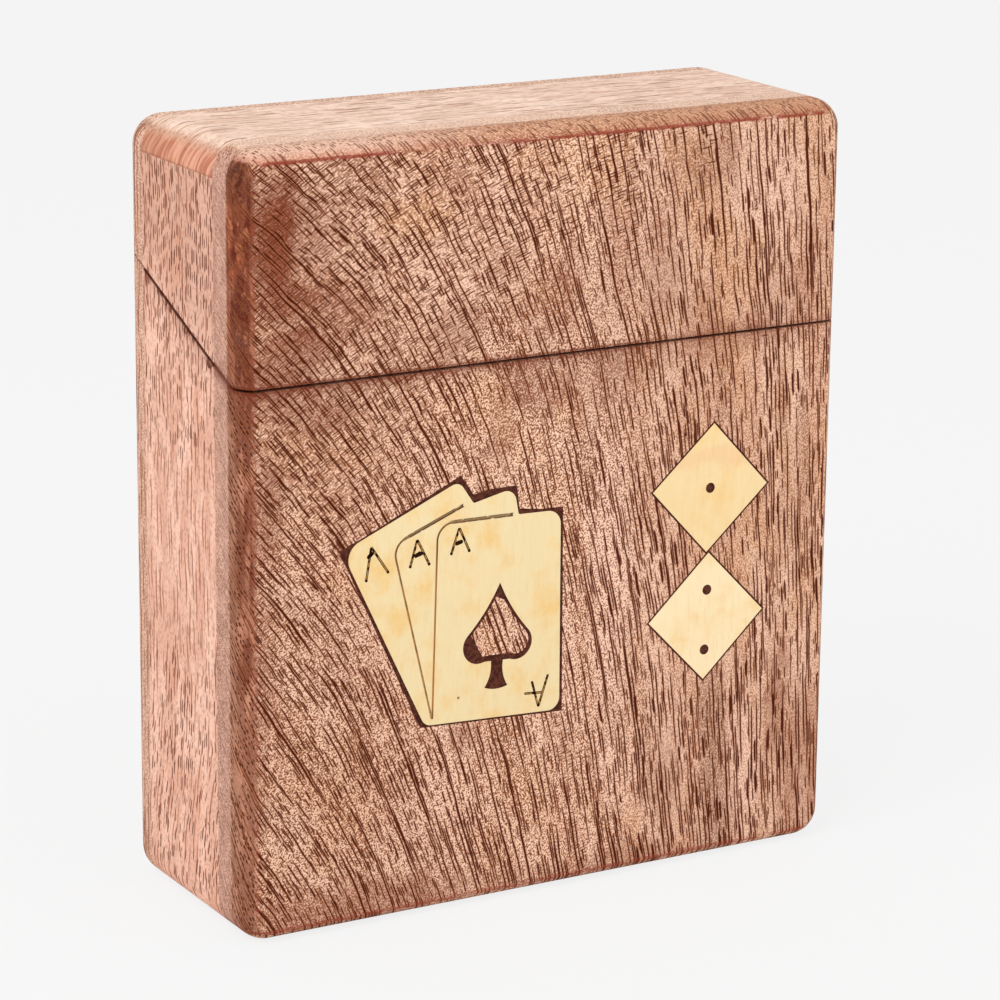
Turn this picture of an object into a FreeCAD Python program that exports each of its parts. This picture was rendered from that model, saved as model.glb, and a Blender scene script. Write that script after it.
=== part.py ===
import FreeCAD, Part
import math
import os

# A flip-top box of solid wood for one deck of playing cards and a few small dice. It stands
# upright: X runs across its width, Y from its front to its back and Z up from its base.
# The box is glued up closed, rounded on all its edges and planed flat at the front. It is
# then sawn into a case and a lid, which two small brass hinges join at the back.

# Outside of the closed box
box_width = 95.0
box_depth = 36.5
box_height = 110.0
edge_radius = 4.3
front_planing = 0.85  # planed off the front after the rounding, which leaves a crisp arris

# Thickness of each board
front_board = 8.35
back_board = 6.3
side_board = 6.0
top_board = 4.7
bottom_board = 6.0

# The two wells
dice_well_width = 12.5
partition_thickness = 4.0
partition_drop = 0.6  # how far the partition stays below the rim

# The saw cut that parts the lid from the case
lid_front_height = 31.9
seam_level_depth = 3.15  # how far back the cut runs level before it rises
seam_rise_angle = 22.6
seam_bend_radius = 4.0
saw_kerf = 0.4

# Brass inlays, let into the front board
inlay_thickness = 1.0
filler_drop = 0.06  # the filler shrinks a little below the brass
engraving_width = 0.3
engraving_depth = 0.25

# The fan of three ace cards, one sheet of brass. Its corners are x, z and radius, measured
# from the lower right corner of the front card, which lies this far from the middle of the
# case front.
cards_offset_x = 1.3
cards_offset_z = -12.1
card_corners = (
    (0.4, -0.15, 1.8),  # front card, lower right
    (0.2, 29.0, 2.1),  # front card, upper right
    (-6.55, 29.2, 0.3),  # notch
    (-7.3, 33.1, 1.7),  # middle card, upper right
    (-13.7, 31.7, 0.4),  # notch
    (-16.0, 35.1, 1.4),  # back card, upper right
    (-34.0, 27.45, 2.7),  # back card, upper left
    (-21.2, 0.8, 1.7),  # where the three cards meet
)

# The chiselled recess of the cards, whose corners are sharp and stand out past the brass
recess_corners = (
    (0.85, -0.45),
    (0.75, 12.8),
    (0.6, 29.4),
    (-2.9, 29.5),
    (-6.4, 30.0),
    (-6.85, 33.4),
    (-11.6, 33.35),
    (-13.7, 32.9),
    (-15.75, 35.9),
    (-18.2, 34.75),
    (-31.0, 29.0),
    (-34.5, 27.6),
    (-33.4, 25.3),
    (-21.9, 0.6),
    (-2.0, -0.35),
)

# Engraved edges of the front and the middle card: start, corner, end and corner radius
front_card_edge = ((-20.0, 1.6), (-19.3, 29.5), (-7.5, 29.3), 2.5)
middle_card_edge = ((-20.1, 1.7), (-26.25, 27.35), (-15.35, 31.6), 2.4)

# The spade sawn out of the front card, measured from the middle of its lobes
spade_offset_x = -9.7
spade_offset_z = 10.9
spade_tilt = -2.0
spade_half_width = 5.5
spade_lobe_radius = 2.5
spade_lobe_overrun = 22.0  # how far each lobe curls on past its lowest point, in degrees
spade_flank_turn = 9.0  # how much flatter than a tangent each flank meets its lobe, in degrees
spade_tip_height = 8.9
spade_foot_depth = 6.1
spade_stem_half_width = 0.95
spade_foot_half_width = 1.85
spade_stem_arch = 0.35  # how far the stem's sides bow inwards
island_gap = 0.6  # filler between the brass and the island of wood in the spade
island_rise = 0.25  # how far the island stands above the middle of the spade
island_breaks = (  # where the island's wood broke away along its grain, in x and z
    ((-6.0, 3.0), (-5.1, 3.0), (-2.1, -1.9), (-2.1, -4.0), (-6.0, -4.0)),
    ((-2.0, 6.2), (-0.5, 7.0), (0.6, 6.4), (2.0, 6.0), (0.0, 10.0)),
)

# The dice plates, two squares that stand on their corners, one above the other
dice_offset_x = 25.9
dice_offset_z = 7.4  # where the two plates meet, from the middle of the case front
die_half_width = 9.6
die_half_height = 9.4
dice_gap = 0.15  # between the two plates
upper_die_shift = 0.25  # to the right, against the lower die
upper_die_tilt = -2.6
lower_die_tilt = -1.4
dice_recess_gap = 0.28
pip_radius = 0.75
pip_depth = 0.6
upper_pip_rises = (0.0,)  # height of each pip above the middle of its plate
lower_pip_rises = (3.9, -5.0)

# Hinges, let into the rims of the case and the lid at the back
hinge_inset = 21.5  # from a side of the box to the middle of its hinge
hinge_length = 18.0
knuckle_radius = 1.3
knuckle_gap = 0.2
pin_radius = 0.6
pin_clearance = 0.05
pin_overhang = 0.35
axis_behind_back = 1.5
leaf_thickness = 0.8
leaf_gap = 0.2  # between the two leaves when the lid is shut
leaf_inset = 1.3  # wood left between a leaf and the inside of the back board
nail_spacing = 11.0
nail_shank_half = 0.4  # half the side of the square shank
nail_neck_radius = 0.6  # under the head, just wide enough for the square shank
nail_head_radius = 0.95
nail_head_height = 0.45
nail_length = 5.0

# Places that follow from the sizes above
half_width = box_width / 2
front_face = -box_depth / 2
back_face = box_depth / 2
inner_front = front_face + front_board
inner_back = back_face - back_board
inner_side = half_width - side_board
inner_top = box_height - top_board
seam_height = box_height - lid_front_height
seam_rise = math.radians(seam_rise_angle)
seam_turn = front_face + seam_level_depth
far = box_width + box_depth + box_height  # well outside the box


def block(x0, x1, y0, y1, z0, z1):
    """A rectangular block between the given planes."""
    return Part.makeBox(x1 - x0, y1 - y0, z1 - z0, FreeCAD.Vector(x0, y0, z0))


# ---- the closed box and the saw cut -------------------------------------------------------


def closed_box():
    """The outside of the whole box: rounded on twelve edges, then planed at the front."""
    blank = block(-half_width, half_width, front_face - front_planing, back_face, 0, box_height)
    rounded = blank.makeFillet(edge_radius, blank.Edges)
    waste = block(-far, far, front_face - far, front_face, -far, far)
    return rounded.cut(waste)


def above_seam(shift):
    """Everything above the middle of the saw cut, with that line moved up by shift."""
    bend_y = seam_turn - seam_bend_radius * math.tan(seam_rise / 2)
    centre = FreeCAD.Vector(0, bend_y, seam_height + seam_bend_radius)
    radius = seam_bend_radius - shift

    def on_bend(angle):
        return centre + FreeCAD.Vector(0, radius * math.sin(angle), -radius * math.cos(angle))

    slope = FreeCAD.Vector(0, math.cos(seam_rise), math.sin(seam_rise))
    start = FreeCAD.Vector(0, -far, seam_height + shift)
    end = on_bend(seam_rise) + slope * far
    corners = [end, FreeCAD.Vector(0, end.y, 3 * far), FreeCAD.Vector(0, -far, 3 * far), start]
    edges = [
        Part.makeLine(start, on_bend(0)),
        Part.Arc(on_bend(0), on_bend(seam_rise / 2), on_bend(seam_rise)).toShape(),
        Part.makeLine(on_bend(seam_rise), end),
    ]
    edges += [Part.makeLine(one, other) for one, other in zip(corners, corners[1:])]
    profile = Part.Face(Part.Wire(edges))
    profile.translate(FreeCAD.Vector(-far, 0, 0))
    return profile.extrude(FreeCAD.Vector(2 * far, 0, 0))


# ---- outlines drawn on the front ----------------------------------------------------------


def round_corner(before, corner, after, radius):
    """The arc that rounds a corner, with the points where it starts and ends."""
    back = (before - corner).normalize()
    ahead = (after - corner).normalize()
    half_angle = back.getAngle(ahead) / 2
    reach = radius / math.tan(half_angle)
    depth = radius / math.sin(half_angle) - radius
    first = corner + back * reach
    last = corner + ahead * reach
    middle = corner + (back + ahead).normalize() * depth
    return Part.Arc(first, middle, last).toShape(), first, last


def on_front(x, z):
    """A point of an outline drawn on the XZ plane."""
    return FreeCAD.Vector(x, 0, z)


def sharp_face(corners):
    """A face with straight sides from its (x, z) corners."""
    points = [on_front(x, z) for x, z in corners]
    return Part.Face(Part.makePolygon(points + points[:1]))


def rounded_face(corners):
    """A face with straight sides and rounded corners from its (x, z, radius) corners."""
    points = [on_front(x, z) for x, z, radius in corners]
    edges = []
    ends = []
    for number, corner in enumerate(corners):
        after = points[(number + 1) % len(points)]
        arc, first, last = round_corner(points[number - 1], points[number], after, corner[2])
        edges.append(arc)
        ends.append((first, last))
    for number, (first, last) in enumerate(ends):
        edges.append(Part.makeLine(ends[number - 1][1], first))
    return Part.Face(Part.Wire(Part.__sortEdges__(edges)))


def let_in(face, x, z, top, bottom):
    """A face drawn on the XZ plane as a solid in the case front, between two depths."""
    placed = face.copy()
    placed.translate(FreeCAD.Vector(x, front_face + top, seam_height / 2 + z))
    return placed.extrude(FreeCAD.Vector(0, bottom - top, 0))


def engraved_line(start, corner, end, radius):
    """The groove of one engraved card edge, straight, round a corner and straight again."""
    points = [on_front(*point) for point in (start, corner, end)]
    arc, first, last = round_corner(*points, radius)
    lines = [Part.makeLine(points[0], first), arc, Part.makeLine(last, points[2])]
    path = Part.Wire(lines)
    across = (first - points[0]).cross(FreeCAD.Vector(0, 1, 0)).normalize()
    across = across * (engraving_width / 2)
    deep = FreeCAD.Vector(0, engraving_depth, 0)
    low = points[0] - deep
    high = points[0] + deep
    section = Part.makePolygon([low - across, low + across, high + across, high - across, low - across])
    groove = path.makePipeShell([section], True, True)
    groove.translate(FreeCAD.Vector(cards_offset_x, front_face, seam_height / 2 + cards_offset_z))
    return groove


def spade_body():
    """The spade without its stem: a circle for each lobe and hollow flanks up to the tip."""
    lobe_x = spade_half_width - spade_lobe_radius
    tip_distance = math.hypot(lobe_x, spade_tip_height)
    # a tangent from the tip touches the right lobe at this angle above the X axis
    toward_tip = math.atan2(spade_tip_height, -lobe_x)
    tangent_touch = toward_tip - math.acos(spade_lobe_radius / tip_distance)
    touch = tangent_touch + math.radians(spade_flank_turn)
    bottom = -math.pi / 2 - math.radians(spade_lobe_overrun)

    def on_lobe(side, angle):
        reach = lobe_x + spade_lobe_radius * math.cos(angle)
        return on_front(side * reach, spade_lobe_radius * math.sin(angle))

    def flank(side):
        start = on_lobe(side, touch)
        ahead = on_front(-side * math.sin(touch), math.cos(touch))
        chord = tip - start
        hollow = chord.Length / 2 * math.tan(ahead.getAngle(chord) / 2)
        inward = chord.cross(FreeCAD.Vector(0, side, 0)).normalize()
        return Part.Arc(start, start + chord / 2 + inward * hollow, tip).toShape()

    def lobe(side):
        middle = (touch + bottom) / 2
        return Part.Arc(on_lobe(side, touch), on_lobe(side, middle), on_lobe(side, bottom)).toShape()

    tip = on_front(0, spade_tip_height)
    base = Part.makeLine(on_lobe(1, bottom), on_lobe(-1, bottom))
    edges = [flank(1), lobe(1), base, lobe(-1), flank(-1)]
    return Part.Face(Part.Wire(Part.__sortEdges__(edges)))


def spade_stem():
    """The stem, which starts inside the body and flares to its foot."""
    top = -spade_lobe_radius / 2
    waist = -(spade_lobe_radius + spade_foot_depth) / 2
    foot = -spade_foot_depth
    waist_half = (spade_stem_half_width + spade_foot_half_width) / 2 - spade_stem_arch
    right = [on_front(spade_stem_half_width, -spade_lobe_radius), on_front(waist_half, waist)]
    right.append(on_front(spade_foot_half_width, foot))
    left = [on_front(-point.x, point.z) for point in right]
    crown = [on_front(-spade_stem_half_width, top), on_front(spade_stem_half_width, top)]
    edges = [
        Part.makeLine(crown[1], right[0]),
        Part.Arc(*right).toShape(),
        Part.Arc(right[2], on_front(0, foot - spade_stem_arch), left[2]).toShape(),
        Part.Arc(*left).toShape(),
        Part.makeLine(left[0], crown[0]),
        Part.makeLine(crown[0], crown[1]),
    ]
    return Part.Face(Part.Wire(Part.__sortEdges__(edges)))


def place_spade(face):
    """A part of the spade, tilted with the card that carries it."""
    face.rotate(FreeCAD.Vector(0, 0, 0), FreeCAD.Vector(0, 1, 0), -spade_tilt)
    face.translate(FreeCAD.Vector(spade_offset_x, 0, spade_offset_z))
    return face


# ---- inlays -------------------------------------------------------------------------------


def cards_inlay():
    """The brass card plate, its filler, and the recess that is cut for both."""
    where = (cards_offset_x, cards_offset_z)
    brass = let_in(rounded_face(card_corners), *where, 0, inlay_thickness)
    hole_face = place_spade(spade_body().fuse(spade_stem()).removeSplitter())
    hole = let_in(hole_face, *where, -inlay_thickness, 2 * inlay_thickness)
    island_face = spade_body().makeOffset2D(-island_gap)
    island_face.translate(on_front(0, island_rise))
    island = let_in(place_spade(island_face), *where, -inlay_thickness, 2 * inlay_thickness)
    for corners in island_breaks:
        broken = place_spade(sharp_face(corners))
        island = island.cut(let_in(broken, *where, -inlay_thickness, 2 * inlay_thickness))
    recess = let_in(sharp_face(recess_corners), *where, 0, inlay_thickness).cut(island)
    filled = let_in(sharp_face(recess_corners), *where, filler_drop, inlay_thickness).cut(island)
    plate = brass.cut(hole)
    filler = filled.cut(plate)
    for edge in (front_card_edge, middle_card_edge):
        plate = plate.cut(engraved_line(*edge))
    return plate, filler, recess


def die_face(side, shift, tilt):
    """The square of one die on its corner, above (side 1) or below (side -1) the meeting point."""
    width = die_half_width
    height = die_half_height
    face = sharp_face([(0, height), (width, 0), (0, -height), (-width, 0)])
    face.rotate(FreeCAD.Vector(0, 0, 0), FreeCAD.Vector(0, 1, 0), -tilt)
    face.translate(on_front(shift, side * (height + dice_gap / 2)))
    return face


def dice_inlay():
    """The two brass dice plates, their filler and pips, and the recess cut for them."""
    where = (dice_offset_x, dice_offset_z)
    plates = []
    recesses = []
    pips = []
    upper = (1, upper_die_shift, upper_die_tilt, upper_pip_rises)
    lower = (-1, 0, lower_die_tilt, lower_pip_rises)
    for side, shift, tilt, rises in (upper, lower):
        face = die_face(side, shift, tilt)
        plate = let_in(face, *where, 0, inlay_thickness)
        recesses.append(let_in(face.makeOffset2D(dice_recess_gap, 2), *where, 0, inlay_thickness))
        centre_z = seam_height / 2 + dice_offset_z + side * (die_half_height + dice_gap / 2)
        lean = math.tan(math.radians(tilt))
        for pip_rise in rises:
            centre_x = dice_offset_x + shift - pip_rise * lean
            mouth = FreeCAD.Vector(centre_x, front_face, centre_z + pip_rise)
            pip = Part.makeCylinder(pip_radius, pip_depth, mouth, FreeCAD.Vector(0, 1, 0))
            plate = plate.cut(pip)
            pips.append(pip)
        plates.append(plate)
    recess = recesses[0].fuse(recesses[1]).removeSplitter()
    skin = block(-far, far, front_face - far, front_face + filler_drop, -far, far)
    filler = recess.cut(skin).cut(Part.makeCompound(plates))
    for pip in pips:
        filler = filler.cut(pip)
    return plates[0], plates[1], filler, Part.makeCompound(pips), recess


# ---- hinges -------------------------------------------------------------------------------

# A hinge is drawn with its pin along X through the origin and the box at negative Y. Its
# leaves lie along Y, one on each side of the XY plane, and the seam's slope is given to it
# when it is put in its place.
wood_edge = -axis_behind_back / math.cos(seam_rise)
leaf_end = wood_edge - back_board / math.cos(seam_rise) + leaf_inset
knuckle_length = (hinge_length - 2 * knuckle_gap) / 3
nail_y = (wood_edge + leaf_end) / 2


def knuckle(start, length):
    """The outside of one knuckle of the hinge."""
    return Part.makeCylinder(knuckle_radius, length, FreeCAD.Vector(start, 0, 0), FreeCAD.Vector(1, 0, 0))


def nail_tool(x, up):
    """One hinge nail: a round countersunk head flush with its leaf and a square cut shank."""
    face = up * leaf_gap / 2
    direction = FreeCAD.Vector(0, 0, up)
    top = FreeCAD.Vector(x, nail_y, face)
    head = Part.makeCone(nail_head_radius, nail_neck_radius, nail_head_height, top, direction)
    neck = face + up * nail_head_height / 2
    point = face + up * nail_length
    half = nail_shank_half
    shank = block(x - half, x + half, nail_y - half, nail_y + half, min(neck, point), max(neck, point))
    return head.fuse(shank).removeSplitter()


def nails(up):
    """The two nails of one leaf."""
    return [nail_tool(x, up) for x in (-nail_spacing / 2, nail_spacing / 2)]


def leaf_blank(up, inner):
    """The flat of one leaf, from the pin to its inner end, and from inner to its outer face."""
    outer = up * (leaf_gap / 2 + leaf_thickness)
    half = hinge_length / 2
    return block(-half, half, leaf_end, 0, min(up * inner, outer), max(up * inner, outer))


def hinge_leaf(up, spans, bore_radius):
    """One leaf with knuckles over the given spans, cleared for the other leaf's knuckles."""
    half = hinge_length / 2
    reach = knuckle_radius + knuckle_gap
    blank = leaf_blank(up, leaf_gap / 2)
    leaf = blank.cut(block(-half, half, -reach, far, -far, far))
    for start, length in spans:
        web = blank.common(block(start, start + length, -2 * reach, 0, -far, far))
        leaf = leaf.fuse(web).fuse(knuckle(start, length))
    bore = Part.makeCylinder(bore_radius, 2 * half, FreeCAD.Vector(-half, 0, 0), FreeCAD.Vector(1, 0, 0))
    leaf = leaf.cut(bore)
    for nail in nails(up):
        leaf = leaf.cut(nail)
    return leaf.removeSplitter()


def hinge_pin():
    """The pin, riveted over a little at both ends."""
    length = hinge_length + 2 * pin_overhang
    start = FreeCAD.Vector(-length / 2, 0, 0)
    pin = Part.makeCylinder(pin_radius, length, start, FreeCAD.Vector(1, 0, 0))
    ends = [edge for edge in pin.Edges if isinstance(edge.Curve, Part.Circle)]
    return pin.makeChamfer(pin_overhang / 2, ends)


def put_hinge(shape, x):
    """A hinge piece turned to the slope of the seam and moved to its place at the back."""
    placed = shape.copy()
    placed.rotate(FreeCAD.Vector(0, 0, 0), FreeCAD.Vector(1, 0, 0), seam_rise_angle)
    axis_y = back_face + axis_behind_back
    axis_z = seam_height + (axis_y - seam_turn) * math.tan(seam_rise)
    placed.translate(FreeCAD.Vector(x, axis_y, axis_z))
    return placed


# ---- the pieces ---------------------------------------------------------------------------


def boards():
    """The boards of the closed box before it is sawn, by name."""
    deep = (inner_front, inner_back)
    return {
        "front_board": block(-half_width, half_width, front_face, inner_front, 0, box_height),
        "back_board": block(-half_width, half_width, inner_back, back_face, 0, box_height),
        "left_board": block(-half_width, -inner_side, *deep, 0, inner_top),
        "right_board": block(inner_side, half_width, *deep, 0, inner_top),
        "top_board": block(-half_width, half_width, *deep, inner_top, box_height),
        "bottom_board": block(-inner_side, inner_side, *deep, 0, bottom_board),
    }


pieces = {}

outside = closed_box()
lid_space = above_seam(saw_kerf / 2)
not_case = above_seam(-saw_kerf / 2)
for name, board in boards().items():
    shaped = board.common(outside)
    if name != "top_board":
        pieces["case_" + name] = shaped.cut(not_case)
    if name != "bottom_board":
        pieces["lid_" + name] = shaped.common(lid_space)

partition_right = inner_side - dice_well_width
partition_left = partition_right - partition_thickness
partition = block(partition_left, partition_right, inner_front, inner_back, bottom_board, box_height)
pieces["well_partition"] = partition.cut(above_seam(-saw_kerf / 2 - partition_drop))

cards_plate, cards_filler, cards_recess = cards_inlay()
upper_die, lower_die, dice_filler, dice_pips, dice_recess = dice_inlay()
pieces["cards_plate"] = cards_plate
pieces["cards_filler"] = cards_filler
pieces["dice_plate_upper"] = upper_die
pieces["dice_plate_lower"] = lower_die
pieces["dice_filler"] = dice_filler
pieces["dice_pips"] = dice_pips
pieces["case_front_board"] = pieces["case_front_board"].cut(cards_recess).cut(dice_recess)

outer_start = -hinge_length / 2
middle_start = outer_start + knuckle_length + knuckle_gap
last_start = middle_start + knuckle_length + knuckle_gap
case_spans = [(outer_start, knuckle_length), (last_start, knuckle_length)]
lid_spans = [(middle_start, knuckle_length)]
case_nails = []
lid_nails = []
hinge_reach = half_width - hinge_inset
for side, hinge_x in (("left", -hinge_reach), ("right", hinge_reach)):
    pieces["hinge_" + side + "_case_leaf"] = put_hinge(hinge_leaf(-1, case_spans, pin_radius), hinge_x)
    lid_leaf = hinge_leaf(1, lid_spans, pin_radius + pin_clearance)
    pieces["hinge_" + side + "_lid_leaf"] = put_hinge(lid_leaf, hinge_x)
    pieces["hinge_" + side + "_pin"] = put_hinge(hinge_pin(), hinge_x)
    case_nails += [put_hinge(nail, hinge_x) for nail in nails(-1)]
    lid_nails += [put_hinge(nail, hinge_x) for nail in nails(1)]
    for up, owner in ((-1, "case_back_board"), (1, "lid_back_board")):
        pieces[owner] = pieces[owner].cut(put_hinge(leaf_blank(up, 0), hinge_x))
pieces["case_hinge_nails"] = Part.makeCompound(case_nails)
pieces["lid_hinge_nails"] = Part.makeCompound(lid_nails)
for nail in case_nails:
    pieces["case_back_board"] = pieces["case_back_board"].cut(nail)
for nail in lid_nails:
    pieces["lid_back_board"] = pieces["lid_back_board"].cut(nail)

os.makedirs("parts", exist_ok=True)
for name, shape in pieces.items():
    shape.exportStep("parts/" + name + ".step")
    print(name, len(shape.Solids), round(shape.Volume, 2), shape.isValid())
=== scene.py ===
import math

import bmesh
import bpy
from mathutils import Matrix, Quaternion, Vector


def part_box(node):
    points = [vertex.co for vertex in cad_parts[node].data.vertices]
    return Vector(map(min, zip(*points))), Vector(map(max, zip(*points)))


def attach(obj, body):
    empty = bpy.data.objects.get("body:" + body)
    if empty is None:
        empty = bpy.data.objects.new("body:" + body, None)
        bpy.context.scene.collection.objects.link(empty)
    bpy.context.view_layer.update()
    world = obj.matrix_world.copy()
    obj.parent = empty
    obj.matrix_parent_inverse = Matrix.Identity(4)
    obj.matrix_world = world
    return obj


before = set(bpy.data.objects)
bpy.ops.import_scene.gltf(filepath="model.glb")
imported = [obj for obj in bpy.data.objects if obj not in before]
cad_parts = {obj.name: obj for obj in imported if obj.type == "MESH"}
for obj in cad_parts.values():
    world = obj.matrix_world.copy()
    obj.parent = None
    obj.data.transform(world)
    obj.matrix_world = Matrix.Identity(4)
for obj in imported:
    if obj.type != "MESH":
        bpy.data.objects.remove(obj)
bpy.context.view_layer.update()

# The studio: a pale sheet of card under and behind the box, lit by two soft
# boxes and an even white room. The sheet shows its own pale colour to the
# camera and keeps only a faint part of the box's shadow.


class Number:
    """A number that changes over a surface. Arithmetic on it adds Math nodes."""

    def __init__(self, finish, socket):
        self.finish = finish
        self.socket = socket

    def joined(self, operation, first, second=0.0):
        """What a Math node makes of two values, fixed or changing."""
        return self.finish.node("ShaderNodeMath", {"operation": operation}, {0: first, 1: second})

    def __add__(self, other):
        return self.joined("ADD", self, other)

    def __sub__(self, other):
        return self.joined("SUBTRACT", self, other)

    def __rsub__(self, other):
        return self.joined("SUBTRACT", other, self)

    def __mul__(self, other):
        return self.joined("MULTIPLY", self, other)

    def __truediv__(self, other):
        return self.joined("DIVIDE", self, other)

    def __floordiv__(self, other):
        return self.joined("FLOOR", self / other)

    def __lt__(self, other):
        return self.joined("LESS_THAN", self, other)

    def __pow__(self, other):
        return self.joined("POWER", self, other)

    def __abs__(self):
        return self.joined("ABSOLUTE", self)

    __radd__ = __add__
    __rmul__ = __mul__


class Finish:
    """The nodes of one material, or of the world, while they are put together."""

    def __init__(self, owner):
        owner.use_nodes = True
        self.owner = owner
        self.tree = owner.node_tree
        ends = [node for node in self.tree.nodes if "Surface" in node.inputs]
        self.surface = ends[0].inputs["Surface"]
        self.shader = self.surface.links[0].from_node
        self.tone = None

    def feed(self, socket, value):
        """Gives a socket a fixed value, or links a changing one to it."""
        if isinstance(value, Number):
            self.tree.links.new(value.socket, socket)
        else:
            socket.default_value = value

    def node(self, kind, settings, sockets, output=0):
        """Adds a node, sets its settings and then its sockets, and returns one output."""
        made = self.tree.nodes.new(kind)
        for name, setting in settings.items():
            setattr(made, name, setting)
        for name, value in sockets.items():
            self.feed(made.inputs[name], value)
        return Number(self, made.outputs[output])

    def set(self, **sockets):
        """Sets the shader's sockets; an underscore stands for a space."""
        for name, value in sockets.items():
            self.feed(self.shader.inputs[name.replace("_", " ")], value)

    def show_to_camera(self, other, share):
        """Lets the camera see another shader in place of this one, as far as share says."""
        own = Number(self, self.shader.outputs[0])
        self.feed(self.surface, self.node("ShaderNodeMixShader", {}, {0: share, 1: own, 2: other}))

    def blend(self, first, second, share):
        """Two colours mixed; share is how much of the second."""
        # a Mix node's sockets for colours are 0, 6 and 7, and output 2
        return self.node(
            "ShaderNodeMix", {"data_type": "RGBA"}, {0: share, 6: first, 7: second}, 2
        )

    def paint(self, coat, share):
        """Lays a coat of colour over what is painted so far, as far as share says."""
        self.tone = self.blend(self.tone, coat, share)


def colour(red, green, blue):
    """A colour as it looks on a screen, 0 to 255, as the shader's linear numbers."""
    linear = [
        level / 255 / 12.92 if level < 10.3 else ((level / 255 + 0.055) / 1.055) ** 2.4
        for level in (red, green, blue)
    ]
    return (*linear, 1.0)


pale = colour(247, 247, 247)
sheet_half = 3.0
shadow_kept = 0.12
room_light = 0.62

sheet_mesh = bmesh.new()
bmesh.ops.create_grid(sheet_mesh, x_segments=1, y_segments=1, size=sheet_half)
floor_data = bpy.data.meshes.new("floor_sheet")
sheet_mesh.to_mesh(floor_data)
sheet_mesh.free()
floor = bpy.data.objects.new("floor_sheet", floor_data)
bpy.context.scene.collection.objects.link(floor)

card = Finish(bpy.data.materials.new("floor_card"))
card.set(Base_Color=pale, Roughness=0.9, Specular_IOR_Level=0.0)
seen = card.node("ShaderNodeLightPath", {}, {}, "Is Camera Ray")
glow = card.node("ShaderNodeEmission", {}, {"Color": pale})
card.show_to_camera(glow, seen * (1 - shadow_kept))
floor_data.materials.append(card.owner)

world = bpy.data.worlds.new("white_room")
bpy.context.scene.world = world
room = Finish(world)
room.set(Color=(1, 1, 1, 1), Strength=room_light)
seen = room.node("ShaderNodeLightPath", {}, {}, "Is Camera Ray")
mirrored = room.node("ShaderNodeLightPath", {}, {}, "Is Glossy Ray")
room.show_to_camera(room.node("ShaderNodeBackground", {}, {"Color": pale}), seen + mirrored)

box_middle = Vector((0, 0, 0.05))


def soft_box(name, place, size, power):
    """A square soft light at place, turned towards the middle of the box."""
    lamp = bpy.data.lights.new(name, "AREA")
    lamp.shape = "SQUARE"
    lamp.size = size
    lamp.energy = power
    holder = bpy.data.objects.new(name, lamp)
    holder.location = place
    holder.rotation_mode = "QUATERNION"
    holder.rotation_quaternion = (box_middle - Vector(place)).to_track_quat("-Z", "Y")
    bpy.context.scene.collection.objects.link(holder)


soft_box("window_light", place=(-0.75, -0.35, 0.85), size=0.7, power=7.0)
soft_box("fill_light", place=(0.55, -0.9, 0.45), size=0.8, power=3.0)

camera_yaw, camera_pitch, camera_roll = 0.52493, 0.26976, 0.01041  # radians
camera_data = bpy.data.cameras.new("camera")
camera_data.sensor_width = 36
camera_data.lens = 140.926
camera = bpy.data.objects.new("camera", camera_data)
camera.location = (-0.267713, -0.466261, 0.201728)
looking = Vector(
    (
        math.sin(camera_yaw) * math.cos(camera_pitch),
        math.cos(camera_yaw) * math.cos(camera_pitch),
        -math.sin(camera_pitch),
    )
)
rolled = Quaternion((0, 0, 1), camera_roll)
camera.rotation_mode = "QUATERNION"
camera.rotation_quaternion = looking.to_track_quat("-Z", "Y") @ rolled
bpy.context.scene.collection.objects.link(camera)
bpy.context.scene.camera = camera
bpy.context.scene.view_settings.view_transform = "Standard"

# The front: one board of figured hardwood, sawn across after gluing into the
# case front and the lid front, so one figure runs through both. Its grain
# leans and curves away to the upper left, as wood does beside a branch.

# places on the box in millimetres: its faces, where a board's rounded side begins and
# ends, the arrises of the flat front, how far back its rounding reaches, and the saw cut
front_face, back_face, side_face = -18.25, 18.25, 47.5
side_round_start, side_round_end = 45.3, 46.2
arris_low, arris_high, arris_side = 1.73, 108.27, 45.77
round_back = -13.95
seam_height, seam_turn, seam_climb = 78.1, -15.1, 0.4163

# clouds of noise hardly leave this range
cloud_low, cloud_high = 0.38, 0.62


def new_finish(name):
    """A new material, and a point's place on its piece in millimetres: whole, x, y and z."""
    finish = Finish(bpy.data.materials.new(name))
    metres = finish.node("ShaderNodeTexCoord", {}, {}, "Object")
    scaled = finish.node(
        "ShaderNodeVectorMath", {"operation": "SCALE"}, {0: metres, "Scale": 1000.0}
    )
    parts = [finish.node("ShaderNodeSeparateXYZ", {}, {0: scaled}, axis) for axis in "XYZ"]
    return finish, spot(*parts), *parts


def wear(names, finish):
    """Puts one material on the nodes of the given names."""
    for name in names:
        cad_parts[name].data.materials.clear()
        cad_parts[name].data.materials.append(finish.owner)


def spot(first, second, third):
    """Three numbers as one place; at least one of them changes over the surface."""
    finish = next(part.finish for part in (first, second, third) if isinstance(part, Number))
    return finish.node("ShaderNodeCombineXYZ", {}, {0: first, 1: second, 2: third})


def fade(value, start, end):
    """0 before start, 1 after end, and smooth between."""
    return value.finish.node(
        "ShaderNodeMapRange",
        {"interpolation_type": "SMOOTHSTEP"},
        {"Value": value, "From Min": start, "From Max": end},
    )


def line(value, middle, half):
    """1 along value = middle, fading to 0 at half to each side."""
    return fade(abs(value - middle), half, half * 0.3)


def clouds(place, size, detail=2.0, roughness=0.5):
    """Soft noise, about 0.5 on average, with spots of the size given."""
    return place.finish.node(
        "ShaderNodeTexNoise",
        {"noise_dimensions": "3D"},
        {"Vector": place, "Scale": 1 / size, "Detail": detail, "Roughness": roughness},
    )


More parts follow.
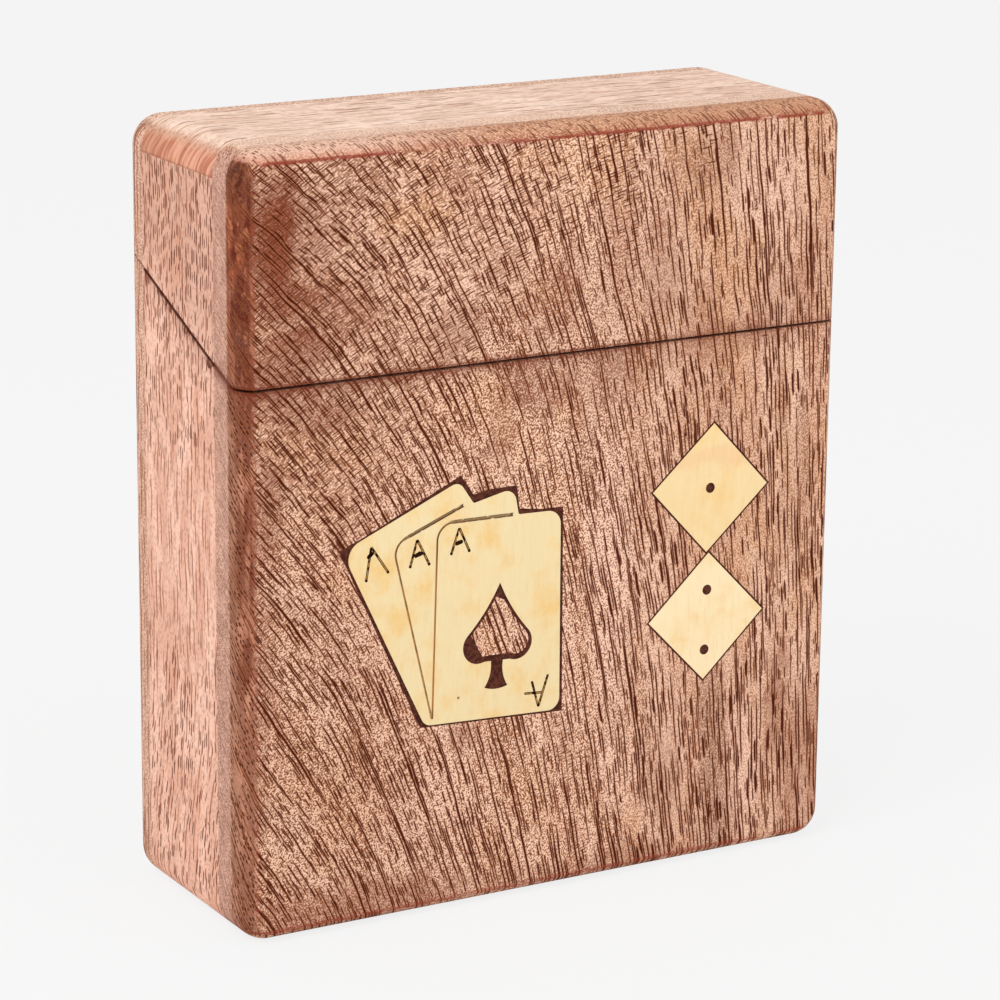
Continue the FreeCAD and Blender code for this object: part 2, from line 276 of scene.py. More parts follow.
def chances(first, second, third):
    """Three random numbers, 0 to 1, that stay the same for the same three seeds."""
    seeds = spot(first, second, third)
    drawn = seeds.finish.node(
        "ShaderNodeTexWhiteNoise", {"noise_dimensions": "3D"}, {"Vector": seeds}, "Color"
    )
    return [seeds.finish.node("ShaderNodeSeparateXYZ", {}, {0: drawn}, axis) for axis in "XYZ"]


def vessels(grain, gap, length, width, share, shift):
    """Opened vessels: thin strokes along the grain, in rows a gap apart, in millimetres.

    The grain is across, along and how many millimetres one unit across takes. A row is
    cut into steps of the given length, and share of the steps hold a stroke. Returns how
    far a point is from its stroke's edge, below 0 inside, and how whole the stroke is."""
    across, along, spread = grain
    row = across // gap
    reel = along / length + chances(row, shift, 0.5)[0] * 9  # each row starts elsewhere
    step = reel // 1
    aside, thick, there = chances(row, step, shift)
    off_row = abs(across / gap - row - 0.25 - aside * 0.5) * gap * spread
    reach = thick * 0.25 + 0.25  # thicker strokes fill more of their step
    taper = fade(abs(reel - step - 0.5), reach, reach * 0.5)
    edge = off_row - (thick * 0.35 + 0.3) * width * taper
    return edge, (there < share) * fade(taper, 0.0, 0.3)


def inside(edge):
    """1 inside a stroke's edge and 0 outside it, with a narrow soft border."""
    return fade(edge, 0.04, -0.04)


def strokes(grain, gap, length, width, share, shift):
    """How much a point is on a stroke of such vessels."""
    edge, whole = vessels(grain, gap, length, width, share, shift)
    return inside(edge) * whole


def all_vessels(grain, layers, lip_width):
    """Layers of vessels together: how closed a point is, and how much on a torn lip."""
    closed, lips = 1.0, 0.0
    for rows in layers:
        edge, whole = vessels(grain, *rows)
        closed = closed * (1 - inside(edge) * whole)
        lips = lips + fade(edge, lip_width, 0.02) * whole
    return closed, lips.joined("MINIMUM", lips, 1.0)


def patches(x, z, ragged, table):
    """Soft-edged patches: middle x and z, half width, half height and share of each."""
    total = 0.0
    for middle_x, middle_z, half_x, half_z, share in table:
        off_x = (x - middle_x + ragged * 0.6) / half_x
        off_z = (z - middle_z + ragged * 0.6) / half_z
        total = total + fade(off_x * off_x + off_z * off_z, 1.5, 0.1) * share
    return total


def round_sides(x):
    """How far a point lies on a board's rounded left side, and on its right one."""
    left = fade(x, -side_round_start, -side_round_end)
    return left, fade(x, side_round_start, side_round_end)


def above_cut(y, z):
    """Millimetres above the saw cut, which is level at the front and then climbs."""
    behind = y.joined("MAXIMUM", y - seam_turn)
    return z - seam_height - behind * seam_climb


def on_rims(height):
    """1 on the two rims that the saw left, which lie within the cut's width."""
    return fade(abs(height), 0.35, 0.1)


def grooves(opened, strength, depth=0.0001):
    """A normal that dips where the wood is opened; depth is in metres."""
    sockets = {"Strength": strength, "Distance": depth, "Height": 1 - opened}
    return opened.finish.node("ShaderNodeBump", {}, sockets)


front, place, x, y, z = new_finish("front_wood")
on_left, on_right = round_sides(x)
unrolled = x - (y - front_face) * (on_left - on_right)

# how far to the side and how high a point is, each about -1 to 1, and from these how
# far across and along the bent grain it is, in millimetres
side = unrolled / 50
rise = z / 50 - 1.1
waver = clouds(place, 26.0, 1.0) - 0.5
ripple = clouds(place, 5.0, 1.0) - 0.5
across = 46 * side + 13 * rise - 11 * side * rise + 10 * side * side + waver * 2.5 + ripple * 0.5
along = 47.5 * rise - 16 * side + 9.5 * side * side
slope_x, slope_z = 0.92 - 0.22 * rise + 0.4 * side, 0.26 - 0.22 * side
spread = (slope_x * slope_x + slope_z * slope_z) ** -0.5
grain = (across, along, spread)

height = above_cut(y, z)
sawn = on_rims(height) * fade(y, front_face + 0.05, front_face + 0.35)
sawn = sawn * (1 - on_left) * (1 - on_right)

# body colour: pinkish tan, with ochre and brown ribbons along the grain
ribbon = clouds(spot(across, along / 5, y), 4.0, 3.0)
streaky = fade(ribbon, cloud_low, cloud_high)
front.tone = front.blend(colour(231, 187, 160), colour(210, 160, 132), streaky)
ochre_share = fade(clouds(spot(across, along / 2, y + 50), 9.0, 3.0), 0.5, 0.68)
front.paint(colour(208, 154, 114), ochre_share * 0.6)
brown_share = fade(clouds(spot(across, along / 7, y + 20), 3.5, 2.0), 0.55, 0.7)
front.paint(colour(146, 96, 70), brown_share * 0.5)
western = fade(x, 0.0, -32.0)
eastern = fade(x, 4.0, 24.0)
front.paint(colour(184, 132, 104), western * 0.3)

# stains: the red dye that the maker rubbed on, thicker at some edges and spots, and
# places where the wood itself is paler, or yellow-brown
dye_patches = (
    # middle x and z, half width, half height, share
    (-44.0, 98.0, 5.0, 12.0, 0.6),
    (-39.5, 97.0, 8.0, 9.0, 0.5),
    (-36.0, 87.0, 9.0, 5.0, 0.5),
    (-42.0, 81.0, 7.0, 4.0, 0.7),
    (-1.0, 85.0, 7.0, 6.0, 0.4),
    (10.0, 90.0, 4.0, 12.0, 0.3),
    (17.5, 88.0, 4.0, 9.0, 0.42),
    (22.0, 102.5, 11.0, 4.0, 0.22),
    (-15.0, 103.5, 3.0, 3.0, 0.35),
    (-14.8, 83.0, 4.0, 4.0, 0.45),
    (-8.5, 92.0, 3.0, 3.0, 0.3),
    (30.0, 77.5, 9.0, 3.0, 0.35),
    (8.0, 73.0, 7.0, 5.0, 0.35),
    (-8.4, 67.5, 2.5, 5.0, 0.4),
    (19.5, 14.0, 3.0, 9.0, 0.35),
    (-14.3, 25.5, 3.0, 3.0, 0.4),
    (24.0, 81.0, 3.5, 6.0, 0.3),
    (3.0, 90.0, 3.5, 4.0, 0.3),
    (38.0, 82.0, 5.0, 7.0, 0.28),
    (-38.0, 74.5, 10.0, 3.5, 0.6),
    (-3.0, 74.0, 7.0, 4.0, 0.5),
    (14.0, 75.5, 8.0, 3.0, 0.3),
    (-44.0, 62.0, 3.0, 9.0, 0.6),
    (-45.0, 34.0, 2.0, 20.0, 0.4),
    (-30.0, 3.0, 22.0, 4.0, 0.55),
    (8.0, 2.0, 18.0, 3.0, 0.45),
    (44.0, 12.0, 5.0, 12.0, 0.4),
    (38.5, 23.0, 1.5, 9.0, 0.5),
)
pale_patches = (
    (10.0, 43.0, 4.5, 20.0, 0.85),
    (35.5, 98.0, 7.0, 7.0, 0.4),
    (-18.0, 14.0, 8.0, 7.0, 0.5),
    (11.5, 16.0, 4.5, 8.0, 0.4),
    (33.0, 15.0, 3.5, 15.0, 0.65),
)
ochre_patches = (
    (-22.0, 99.0, 6.0, 4.0, 0.5),
    (-2.5, 86.0, 5.0, 3.0, 0.3),
    (30.0, 88.0, 4.0, 8.0, 0.3),
)
pitch_pockets = (
    (-20.3, 89.6, 0.7, 0.75, 0.85),
    (-18.9, 86.7, 0.4, 0.9, 0.8),
    (-24.2, 29.2, 0.9, 0.6, 0.85),
    (-23.8, 31.6, 0.35, 0.9, 0.6),
    (32.6, 96.2, 0.32, 1.4, 0.95),
)
ragged = clouds(place, 5.0, 4.0, 0.6) * 14 - 7
stained = patches(x, z, ragged, dye_patches)
front.paint(colour(240, 196, 172), patches(x, z, ragged, pale_patches))
front.paint(colour(206, 150, 100), patches(x, z, ragged, ochre_patches))
front.paint(colour(134, 70, 48), stained)
grey_streak = line(x + (z - 14) * 0.06 + ragged * 0.2, 28.0, 3.6) * fade(z, 34.0, 22.0)
front.paint(colour(120, 84, 64), grey_streak * 0.45)

# the left edge: its rounding painted dark as shade, with red dye high up and bare brown
# wood below, and paler wood on the flat behind the rounding
smear = clouds(spot(x, y, z / 5), 1.4, 3.0) + line(y, -17.0, 1.8) * 0.14 - 0.06
dyed = fade(z, 72.0, 86.0)
shaded_bare_round = front.blend(colour(190, 130, 104), colour(116, 58, 40), fade(smear, 0.38, 0.6))
shaded_bare_round = front.blend(shaded_bare_round, colour(146, 106, 86), fade(y, -16.8, -15.2) * 0.6)
shaded_dyed_round = front.blend(colour(148, 74, 48), colour(84, 16, 5), fade(smear, 0.36, 0.6))
dyed_share = dyed * 0.7 + fade(ragged, -1.0, 1.5) * 0.25
shaded_round_tone = front.blend(shaded_bare_round, shaded_dyed_round, dyed_share)
blots = clouds(spot(x, y, z / 2), 0.9, 2.0) + fade(z, 84.0, 100.0) * 0.06
blotted = fade(blots, 0.58, 0.74) * (0.2 + dyed * 0.35)
shaded_round_tone = front.blend(shaded_round_tone, colour(204, 126, 86), blotted)
shaded_round_tone = front.blend(shaded_round_tone, colour(204, 150, 124), fade(z, 40.0, 30.0) * 0.28)
shaded_round_tone = front.blend(shaded_round_tone, colour(104, 50, 36), line(z, 50.0, 6.0) * 0.3)
left_round = on_left * fade(y, round_back + 0.5, round_back - 0.3)
# painted shade: the rounding is painted darker than the faces on each side of it
front.paint(shaded_round_tone, left_round * 0.92)
dark_corner = fade(z + ragged * 0.3, 101.0, 107.0)
front.paint(colour(74, 34, 22), left_round * dark_corner * 0.6)
smudge = clouds(spot(x, y * 2, z), 2.4, 3.0)
flat_tone = front.blend(colour(206, 160, 142), colour(184, 140, 124), fade(smudge, 0.4, 0.6))
left_flat = on_left * fade(y, round_back - 0.3, round_back + 0.5)
front.paint(flat_tone, left_flat * 0.9)

# the top edge: ochre end grain, with painted shade low on its rounding and painted light towards
# the flat on top
top_round = fade(z, arris_high - 0.1, arris_high + 0.3)
top_round = top_round * fade(y, round_back + 0.4, round_back - 0.6)
top_flat = fade(z, 109.3, 109.8) * fade(y, round_back - 0.6, round_back + 0.4)
eastward = fade(x, -34.0, -4.0)
shaded_low_tone = front.blend(colour(202, 136, 112), colour(170, 104, 74), eastward)
lit_high_tone = front.blend(colour(230, 188, 166), colour(196, 142, 110), eastward)
# painted shade low on the rounding, blending to painted light towards the top
front.paint(front.blend(shaded_low_tone, lit_high_tone, fade(z, 108.2, 109.6)), top_round * 0.85)
front.paint(colour(240, 206, 184), top_flat * 0.9)

small_ragged = (clouds(place, 0.8) - 0.5) * 1.6
front.paint(colour(92, 46, 30), patches(x, z, small_ragged, pitch_pockets))

# fine points all over, darker and lighter than the wood, and fewer where rays show:
# in the upper left, and in two ladders of rays between the long vessels
fine = fade((x - z) * 0.9, -64.0, -106.0)
ladder = line(across + waver * 2, -5.5, 3.0) * fade(z, 34.0, 20.0)
ladder_high = line(across + waver * 2, 19.0, 2.6) * fade(z, 78.0, 94.0)
banded = clouds(spot(across, along / 3, y + 33), 6.0, 2.0)
rayed = fade(banded * 0.7 + fine * 0.3 + ladder * 0.16 + ladder_high * 0.12, 0.47, 0.56)
grit = clouds(spot(across, along / 1.3, y), 0.2, 0.0)
plain_share = (1 - left_round * 0.9) * (1 - stained * 0.8) * (1 - left_flat * 0.5)
plain_share = plain_share * (1 - top_round * 0.5)
dotted_share = (plain_share * 0.68 + 0.2) * (1 - rayed * 0.5) * (1 - eastern * 0.4)
front.paint(colour(116, 60, 34), fade(grit, 0.53, 0.63) * dotted_share)
lit_share = plain_share * (0.88 - eastern * 0.4 - western * 0.18)
front.paint(colour(255, 214, 188), fade(grit, 0.46, 0.34) * lit_share)

# opened vessels: long ones, dashes and flecks, each with a paler lip, and rays
# across them; over the top they are cut across and show as dots
dense = fade(clouds(spot(across, along / 3, y), 6.0, 2.0), 0.3, 0.7)
layers = (
    # gap, length, width, share, shift
    (4.6, 40.0, 0.22, 0.75, 1.7),
    (0.95, 14.0, 0.165, 0.8, 3.1),
    (0.7, 6.0, 0.155, dense * 0.25 + fine * 0.15 + western * 0.25 + 0.2, 7.7),
    (0.5, 2.4, 0.145, dense * 0.2 + fine * 0.15 + western * 0.25 + 0.1, 11.3),
    (1.1, 4.5, 0.3, dense * eastern * 0.35, 23.1),
)
closed, lips = all_vessels(grain, layers, lip_width=0.16)
over_top = fade(z, arris_high - 0.2, arris_high + 0.05)
cut_across = over_top + sawn
opened = (1 - closed) * (1 - cut_across) * (1 - left_flat * 0.85) * (1 - left_round * 0.3)
lips = lips * (1 - cut_across) * (1 - left_flat * 0.8)
rays = strokes(
    (along, across, 1.0), gap=0.42, length=1.8, width=0.17, share=rayed * 0.8, shift=19.9
)
rays = rays * (1 - cut_across) * (1 - left_flat) * (1 - left_round * 0.85)
dots = strokes(
    (x + y * 0.5, (y - z) * 1.6, 1.0), gap=0.5, length=0.9, width=0.27, share=0.6, shift=8.8
)
nicks = strokes(grain, gap=0.5, length=1.0, width=0.26, share=0.5, shift=5.5)
front.paint(colour(158, 94, 62), lips * 0.6)
front.paint(colour(104, 50, 28), rays * 0.9)
front.paint(colour(70, 20, 4), opened * 0.97)
front.paint(colour(74, 30, 14), nicks * left_round * (0.9 - dyed * 0.5))
front.paint(colour(140, 104, 88), nicks * left_flat * 0.6)
front.paint(colour(106, 58, 38), dots * cut_across * 0.75 * (1 - top_flat * 0.8))

# lines: red dye and painted shade along the arrises, and a painted shadow along the saw cut
torn = clouds(spot(x, y, z * 4), 3.0, 3.0)
frayed = (torn - 0.5) * 0.8
at_top = line(z + frayed * 0.5, arris_high, 0.42) * fade(torn, 0.3, 0.45)
at_bottom = line(z + frayed, arris_low, 0.5) * fade(torn, 0.34, 0.5)
at_left = line(x + frayed, -arris_side, 0.5) * fade(torn, 0.4, 0.6)
red_length = fade(x, -22.0, -28.0) + fade(x, -14.0, -4.0)
arris_dye_and_shade = at_top * (red_length * 0.6 + 0.25) + at_left * 0.4
flat_front = fade(y, front_face + 0.3, front_face + 0.05)
# painted shade where the faces turn at the arrises, with red dye
front.paint(colour(142, 58, 42), arris_dye_and_shade * flat_front + at_bottom * 0.6)
below = fade(height + ragged * 0.12, -2.2, -0.4) * fade(height, 0.6, 0.5)
above = fade(height + ragged * 0.12, 1.6, 0.3) * fade(height, -0.6, -0.5)
seam_shadow = (below * (0.5 - eastern * 0.35) + above * 0.25) * (1 - sawn)
# painted shadow below the saw cut, and fainter painted shade above it
front.paint(colour(110, 50, 32), seam_shadow)

front.set(
    Base_Color=front.tone,
    Roughness=0.5 + ribbon * 0.15,
    Normal=grooves(opened, 0.3),
    Specular_IOR_Level=0.02,
)
wear(("case_front_board", "lid_front_board"), front)

# The sides and the bottom: thinner boards of the same timber with an upright
# grain, paler because they are sapwood. They stand between the front and back
# boards and under the top board, and are glued edge to edge.

flank, place, x, y, z = new_finish("side_wood")
waver = clouds(place, 14.0, 1.0) - 0.5
ripple = clouds(place, 3.0, 1.0) - 0.5
curl = fade(z, 30.0, 0.0) * 4
across = y + waver * 2.0 + ripple * 0.6 - curl
grain = (across, z, 1.0)
height = above_cut(y, z)
outside = fade(abs(x), side_face - 0.6, side_face - 0.1)
sawn = on_rims(height) * (1 - outside)

# body colour: pale pink, darker and redder towards and above the saw cut
ribbon = clouds(spot(across, z / 5, x), 3.0, 3.0)
streaky = fade(ribbon, cloud_low, cloud_high)
flank.tone = flank.blend(colour(244, 197, 175), colour(227, 175, 152), streaky)
high = fade(height + waver * 8, -12.0, 8.0)
flank.paint(colour(206, 158, 137), high * 0.6)
reddish = fade(clouds(spot(across, z / 12, x), 1.2, 2.0), 0.56, 0.7)
flank.paint(colour(220, 152, 124), reddish * 0.5)
grit = clouds(spot(across, z / 1.6, x), 0.4, 0.0)
flank.paint(colour(176, 122, 98), fade(grit, 0.54, 0.66) * 0.4)

# opened vessels, short dark ones and slim pale ones; a stretch at half height has few,
# and on the rims they are cut across
crowd = fade(clouds(spot(across, z / 2, x), 5.0, 2.0), 0.3, 0.7)
short = strokes(
    grain, gap=0.62, length=2.8, width=0.28, share=crowd * 0.3 + high * 0.3 + 0.35, shift=3.3
)
slim = strokes(grain, gap=1.1, length=10.0, width=0.32, share=0.75 - high * 0.2, shift=9.1)
pores = strokes((x + y * 0.4, y, 1.0), gap=0.5, length=0.9, width=0.27, share=0.5, shift=6.1)
smooth = fade(z, 34.0, 44.0) * fade(z, 70.0, 60.0)
short = short * (1 - smooth * 0.7) * (1 - sawn)
flank.paint(colour(160, 98, 74), slim * (1 - sawn) * 0.8)
flank.paint(colour(106, 52, 30), short * 0.85)
flank.paint(colour(214, 160, 134), sawn * 0.6)
flank.paint(colour(120, 70, 50), pores * sawn * 0.7)

# the saw cut: a shaded lower edge, where the saw tore out chips, and a dark line of painted shade
chips = fade(clouds(spot(y, height / 3, x), 0.9, 3.0), 0.5, 0.58) * outside
lowest = clouds(spot(y, 0.0, x), 1.6, 2.0) * 4
chipped = chips * fade(height + lowest, 0.6, 1.0) * fade(height, 0.2, 0.0)
shade = fade(height + waver * 2, -3.0, -0.3) * fade(height, 0.3, 0.0)
flank.paint(colour(150, 100, 80), shade * outside * 0.35)
flank.paint(colour(92, 44, 26), chipped * 0.9)
# painted shade: a dark line along the cut
flank.paint(colour(76, 34, 18), line(height, -0.15, 0.45) * outside * 0.9)
flank.set(
    Base_Color=flank.tone,
    Roughness=0.55 + ribbon * 0.15,
    Normal=grooves(short, 0.5),
    Specular_IOR_Level=0.04,
)
wear(("case_left_board", "case_right_board", "case_bottom_board"), flank)
wear(("lid_left_board", "lid_right_board"), flank)

# The top: a thin pale board let in between the front and the back, with its
# grain along the box, so its end grain shows reddish over each side.

cover, place, x, y, z = new_finish("top_wood")
waver = clouds(place, 12.0, 2.0) - 0.5
across = y + waver * 2.0
grain = (across, x, 1.0)
ribbon = clouds(spot(across, x / 6, z), 2.5, 3.0)
streaky = fade(ribbon, cloud_low, cloud_high)
cover.tone = cover.blend(colour(250, 221, 202), colour(238, 206, 186), streaky)
cover.paint(colour(240, 202, 186), fade(x + waver * 20, 0.0, 40.0) * 0.3)
grit = clouds(spot(across, x / 4, z), 0.3, 1.0)
cover.paint(colour(200, 156, 134), fade(grit, 0.5, 0.64) * 0.5)
short = strokes(grain, gap=0.7, length=8.0, width=0.34, share=0.65, shift=3.3)
heavy = strokes(grain, gap=1.3, length=5.5, width=0.38, share=0.3, shift=15.3)
cover.paint(colour(196, 148, 122), short * 0.75)
cover.paint(colour(140, 92, 70), heavy * 0.75)

# the rounded ends: dotted end grain above, and a reddish fan of rings below it, down
# to the joint with the side board
on_end = fade(x, -44.6, -side_round_end) + fade(x, 44.6, side_round_end)
high_end = fade(z, 109.95, 108.6) * on_end
low_end = fade(z, 109.2, 107.6) * on_end
specks = strokes((y, z + x * 0.5, 1.0), gap=0.5, length=0.9, width=0.3, share=0.5, shift=4.4)
dotted = cover.blend(colour(208, 158, 130), colour(132, 82, 60), specks * 0.8)
cover.paint(dotted, high_end * 0.8)
fan = clouds(spot(y + z * 0.5 + waver * 4, x / 6, z / 9), 0.7, 2.0)
rings = fade(fan, cloud_low, cloud_high)
end_tone = cover.blend(colour(226, 164, 136), colour(184, 112, 86), rings)
end_tone = cover.blend(end_tone, colour(168, 110, 84), fade(y + waver * 10, 2.0, 14.0) * 0.6)
cover.paint(end_tone, low_end * 0.9)
cover.paint(colour(120, 60, 42), fade(z, 105.7, 105.4) * 0.35)
cover.set(
    Base_Color=cover.tone,
    Roughness=0.55 + ribbon * 0.15,
    Normal=grooves(short, 0.5, 0.00008),
    Specular_IOR_Level=0.05,
)
wear(("lid_top_board",), cover)

# The back: a plainer board of the same timber, sawn with the case back and the
# lid back in one, its grain upright and its face a little browner.

back, place, x, y, z = new_finish("back_wood")
waver = clouds(place, 20.0, 2.0) - 0.5
on_left, on_right = round_sides(x)
unrolled = x - (back_face - y) * (on_left - on_right)
across = unrolled + waver * 3.0 + (clouds(place, 5.0, 1.0) - 0.5) * 0.6
grain = (across, z, 1.0)
height = above_cut(y, z)
sawn = on_rims(height) * fade(y, back_face - 0.05, back_face - 0.35)
sawn = sawn * (1 - on_left) * (1 - on_right)

# body colour, paler on the flats of the side edges and on the end grain at the top
ribbon = clouds(spot(across, z / 6, y), 4.0, 3.0)
streaky = fade(ribbon, cloud_low, cloud_high)
back.tone = back.blend(colour(232, 186, 160), colour(210, 160, 132), streaky)
edge_share = fade(y, 15.0, 14.0) * (on_left + on_right)
back.paint(colour(208, 164, 144), edge_share * 0.7)
end_share = fade(z, 108.6, 109.6)
back.paint(colour(236, 200, 178), end_share * 0.85)
grit = clouds(spot(across, z / 1.3, y), 0.22, 0.0)
back.paint(colour(124, 68, 42), fade(grit, 0.53, 0.64) * 0.55)
back.paint(colour(255, 214, 188), fade(grit, 0.46, 0.34) * 0.5)

# opened vessels with paler lips, and dots where they are cut across
crowd = fade(clouds(spot(across, z / 3, y), 6.0, 2.0), 0.3, 0.7)
layers = (
    # gap, length, width, share, shift
    (4.1, 36.0, 0.24, 0.7, 2.2),
    (1.05, 13.0, 0.2, 0.75, 3.3),
    (0.7, 5.5, 0.2, crowd * 0.35 + 0.2, 9.1),
)
closed, lips = all_vessels(grain, layers, lip_width=0.18)
cut_across = end_share + sawn
opened = (1 - closed) * (1 - cut_across) * (1 - edge_share * 0.6)
dots = strokes(
    (x + y * 0.5, (y + z) * 1.6, 1.0), gap=0.5, length=0.9, width=0.27, share=0.55, shift=6.6
)
back.paint(colour(164, 100, 70), lips * (1 - cut_across) * 0.5)
back.paint(colour(78, 28, 10), opened * 0.95)
back.paint(colour(120, 72, 52), dots * cut_across * 0.7)
back.set(
    Base_Color=back.tone,
    Roughness=0.5 + ribbon * 0.15,
    Normal=grooves(opened, 0.3),
    Specular_IOR_Level=0.02,
)
wear(("case_back_board", "lid_back_board"), back)

# The partition: a thin board slid in between the front and the back, which
# keeps the dice apart from the cards. It is left as it came from the plane.

inner, place, x, y, z = new_finish("inner_wood")
across = y + clouds(place, 12.0) * 3
ribbon = clouds(spot(across, z / 6, x), 3.0, 3.0)
streaky = fade(ribbon, cloud_low, cloud_high)
inner.tone = inner.blend(colour(228, 184, 158), colour(208, 160, 132), streaky)
dashes = strokes((across, z, 1.0), gap=0.8, length=6.0, width=0.26, share=0.5, shift=3.3)
inner.paint(colour(120, 66, 42), dashes * 0.8)
inner.set(
    Base_Color=inner.tone,
    Roughness=0.7 + ribbon * 0.1,
    Normal=grooves(dashes, 0.5),
    Specular_IOR_Level=0.03,
)
wear(("well_partition",), inner)

# The inlays: thin brass sheet cut with a fine saw and hammered flush into
# recesses in the case front, with dark resin and sawdust packed round it.

brass, place, x, y, z = new_finish("inlay_brass")
on_dice = fade(x, 8.0, 10.0)
plain = brass.blend(colour(239, 218, 172), colour(243, 215, 165), on_dice)
plain = brass.blend(plain, colour(250, 230, 190), on_dice * fade(z, 47.0, 43.0) * 0.8)
cloudy = clouds(place, 5.0, 5.0, 0.6) + fade(x - z * 0.4, -34.0, -52.0) * 0.1
tarnish = fade(cloudy, 0.46, 0.8) * (0.85 - on_dice * 0.25)
brass.tone = brass.blend(plain, colour(238, 196, 124), tarnish)
pinkish = line(z + (cloudy - 0.5) * 6, 60.5, 2.2) * on_dice
brass.paint(colour(238, 186, 140), pinkish * 0.35)
brushed = clouds(spot(x, y, z / 5), 0.5, 3.0, 0.6)
brass.paint(colour(222, 186, 128), fade(brushed, 0.5, 0.8) * 0.25)
brass.paint(colour(250, 236, 196), fade(brushed, 0.48, 0.3) * 0.12)

# the engraved lines: their walls are dark where resin stayed in them, and tan where
# it came out, which is on most of the long edges and everywhere down in the groove
wall = fade(y, front_face + 0.02, front_face + 0.05)
upright = fade(x, -19.6, -19.2)
broken = fade(clouds(spot(0.0, 0.0, z), 1.6, 2.0), 0.42, 0.56)
slanting = (1 - upright) * broken * fade(z, 31.5, 33.5) * 0.7
long_edges = fade(z, 52.0, 47.0) * fade(z, 29.0, 31.0)
tan_share = fade(y, -18.15, -18.06) * 0.7
tan_share = tan_share + long_edges * (0.4 + cloudy * 0.8) * (upright + slanting)
groove_tone = brass.blend(colour(58, 32, 14), colour(214, 164, 98), tan_share)
brass.paint(groove_tone, wall * 0.95)

# the short top edges: a dark line along each side of the groove
top_lines = (
    # x and z of one end, x and z of the other end
    (-15.6, 56.41, -6.2, 56.25),
    (-22.8, 55.14, -14.05, 58.55),
)
inked = 0.0
for x1, z1, x2, z2 in top_lines:
    run = math.hypot(x2 - x1, z2 - z1)
    along = (x - x1) * ((x2 - x1) / run) + (z - z1) * ((z2 - z1) / run)
    off_line = abs((x - x1) * ((z2 - z1) / run) - (z - z1) * ((x2 - x1) / run))
    there = fade(along, -1.0, 0.5) * fade(along, run + 0.2, run)
    inked = inked + fade(off_line, 0.3, 0.22) * fade(off_line, 0.1, 0.14) * there
worn = fade(clouds(place, 0.7, 2.0), 0.3, 0.46)
brass.paint(colour(52, 26, 10), inked * (1 - wall) * worn * 0.95)
pit = fade((x + 14.6) ** 2 + (z - 31.0) ** 2, 0.06, 0.01)
brass.paint(colour(110, 60, 40), pit * 0.85)
blackened = wall + inked * (1 - wall)
brass.set(
    Base_Color=brass.tone,
    Roughness=0.36 + cloudy * 0.12,
    Metallic=1.0 - blackened * 0.8,
)
wear(("cards_plate", "dice_plate_upper", "dice_plate_lower"), brass)

filler, place, x, y, z = new_finish("dark_filler")
lumps = clouds(place, 0.5, 3.0)
filler.tone = filler.blend(colour(92, 48, 36), colour(64, 30, 22), fade(lumps, 0.4, 0.6))
filler.set(Base_Color=filler.tone, Roughness=0.7 + lumps * 0.2, Specular_IOR_Level=0.1)
wear(("cards_filler", "dice_filler", "dice_pips"), filler)

# The card marks: an A in the corner of each card, struck into the brass with
# a small chisel and a punch, its narrow cuts dark with resin along both sides.

cut, place, x, y, z = new_finish("chisel_cut")
over = cut.node("ShaderNodeAttribute", {"attribute_name": "across"}, {}, "Fac")
flake = clouds(place, 0.5, 2.0)
cut.tone = cut.blend(colour(190, 142, 80), colour(44, 18, 6), fade(abs(over), 0.05, 0.34))
cut.paint(colour(36, 14, 5), fade(flake, 0.47, 0.6))
cut.set(Base_Color=cut.tone, Roughness=0.5 + flake * 0.2, Specular_IOR_Level=0.03)

# sizes of the marks in metres
plate_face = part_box("cards_plate")[0].y
mark_proud = 0.00002
mark_depth = 0.0001
leg_width = 0.00036
bar_width = leg_width * 1.6
dot_radius = 0.00022
cube_reach = 0.501  # from the middle of a unit cube to its faces, and a little more
dark = 0.5  # the attribute's value at the side of a cut, where it is darkest


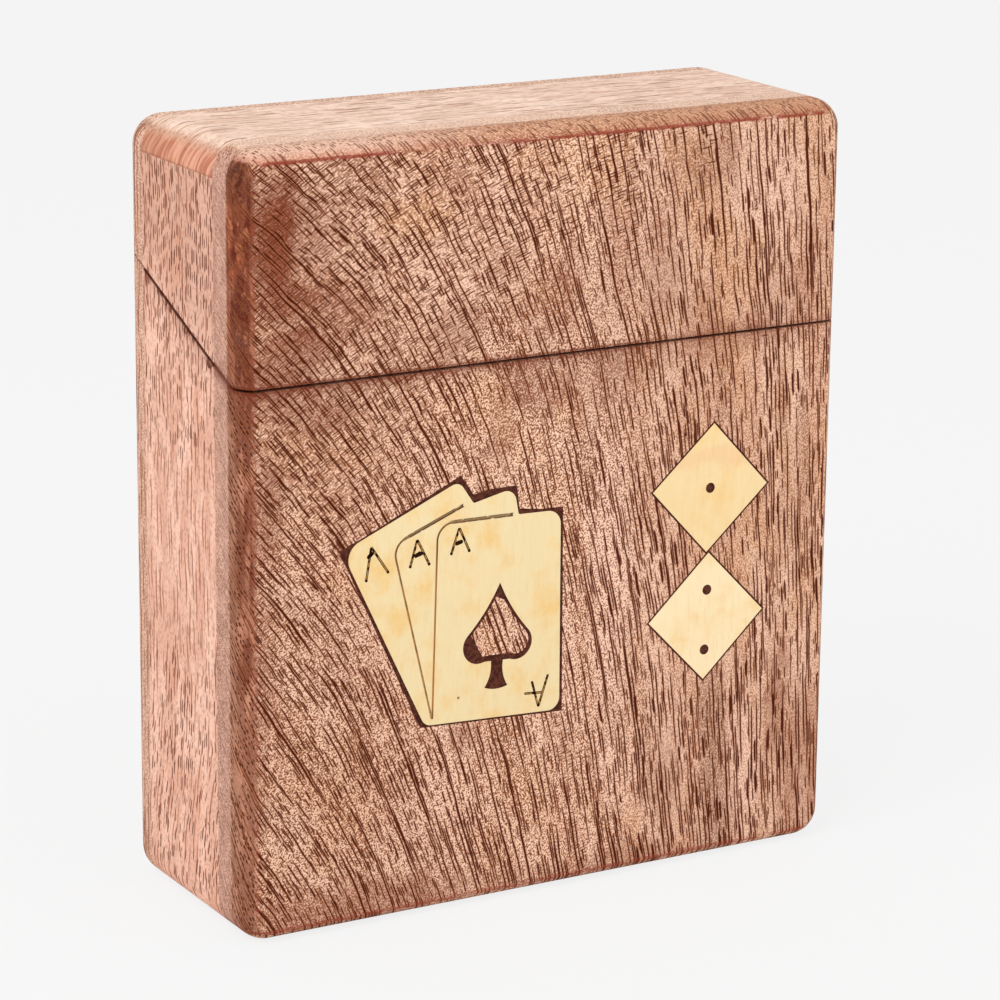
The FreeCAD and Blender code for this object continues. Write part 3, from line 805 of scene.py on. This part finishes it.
def card_mark(name, legs, dots, bars):
    """One struck letter: legs and bars as (x, z, x, z) and punched dots as (x, z), in mm."""
    mesh = bmesh.new()
    over = mesh.verts.layers.float.new("across")
    for width, lines in ((leg_width, legs), (bar_width, bars)):
        for x1, z1, x2, z2 in lines:
            start, end = Vector((x1, 0, z1)) / 1000, Vector((x2, 0, z2)) / 1000
            lean = math.atan2(end.x - start.x, end.z - start.z)
            depth_middle = Vector((0, plate_face - mark_proud + mark_depth / 2, 0))
            turned = Matrix.Translation((start + end) / 2 + depth_middle)
            turned = turned @ Matrix.Rotation(lean, 4, "Y")
            scaled = turned @ Matrix.Diagonal((width, mark_depth, (end - start).length, 1))
            made = bmesh.ops.create_cube(mesh, size=1, matrix=scaled)["verts"]
            corners = dict.fromkeys(
                edge for vert in made for edge in vert.link_edges
                if abs((edge.verts[0].co - edge.verts[1].co).normalized().y) > 0.9
            )
            bmesh.ops.bevel(
                mesh, geom=list(corners), offset=width * 0.45, segments=3,
                profile=0.5, affect="EDGES", material=-1,
            )
            back_to_cube = scaled.inverted()
            for vert in mesh.verts:
                local = back_to_cube @ vert.co
                if max(abs(local.x), abs(local.y), abs(local.z)) < cube_reach:
                    vert[over] = local.x if lines is legs else dark
    for x1, z1 in dots:
        dot_y = plate_face - mark_proud * 1.5 + mark_depth / 2
        centre = Matrix.Translation((x1 / 1000, dot_y, z1 / 1000))
        bmesh.ops.create_cone(
            mesh, cap_ends=True, segments=12, radius1=dot_radius, radius2=dot_radius,
            depth=mark_depth, matrix=centre @ Matrix.Rotation(math.pi / 2, 4, "X"),
        )
    for vert in mesh.verts:
        if len(vert.link_edges) == 3 and vert[over] == 0.0:
            vert[over] = dark
    bmesh.ops.recalc_face_normals(mesh, faces=mesh.faces[:])
    data = bpy.data.meshes.new(name)
    mesh.to_mesh(data)
    mesh.free()
    data.materials.append(cut.owner)
    piece = bpy.data.objects.new(name, data)
    bpy.context.scene.collection.objects.link(piece)
    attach(piece, "case")


card_mark(
    "mark_rear_card",
    legs=[(-29.03, 49.92, -28.26, 54.54), (-28.26, 54.54, -25.65, 50.65)],
    dots=[(-29.03, 49.92), (-25.7, 50.7), (-28.6, 53.35)],
    bars=[(-28.85, 53.0, -27.95, 53.8)],
)
card_mark(
    "mark_middle_card",
    legs=[(-22.25, 50.95, -21.17, 54.63), (-21.17, 54.63, -19.29, 50.9)],
    dots=[(-22.25, 50.95), (-19.32, 50.95), (-21.15, 52.6), (-20.85, 52.75)],
    bars=[(-21.65, 52.3, -20.25, 52.7)],
)
card_mark(
    "mark_front_card",
    legs=[(-15.85, 51.92, -14.62, 55.45), (-14.62, 55.45, -13.02, 51.96)],
    dots=[(-15.85, 51.92), (-13.05, 52.0), (-14.75, 53.45)],
    bars=[(-15.25, 53.2, -14.05, 53.5)],
)
card_mark(
    "mark_front_card_foot",
    legs=[
        (-2.82, 31.62, -1.72, 27.76),
        (-1.72, 27.76, -0.21, 32.25),
        (-4.02, 29.96, -1.09, 29.73),
    ],
    dots=[(-1.72, 27.9), (-2.55, 29.85)],
    bars=[],
)

# The hinges: two small butt hinges of drawn brass, each a pair of leaves let
# into the rims of case and lid, with a drawn pin and countersunk nails.

butt, place, x, y, z = new_finish("hinge_brass")
stain = clouds(place, 2.0, 4.0, 0.6)
drawn = clouds(spot(x / 12, y, z), 0.12, 2.0)
butt.tone = butt.blend(colour(232, 196, 124), colour(194, 146, 80), fade(stain, 0.48, 0.8))
butt.paint(colour(170, 126, 66), fade(drawn, 0.52, 0.72) * 0.4)
butt.set(Base_Color=butt.tone, Roughness=0.28 + stain * 0.25, Metallic=1.0)
wear([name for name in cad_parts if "hinge" in name], butt)
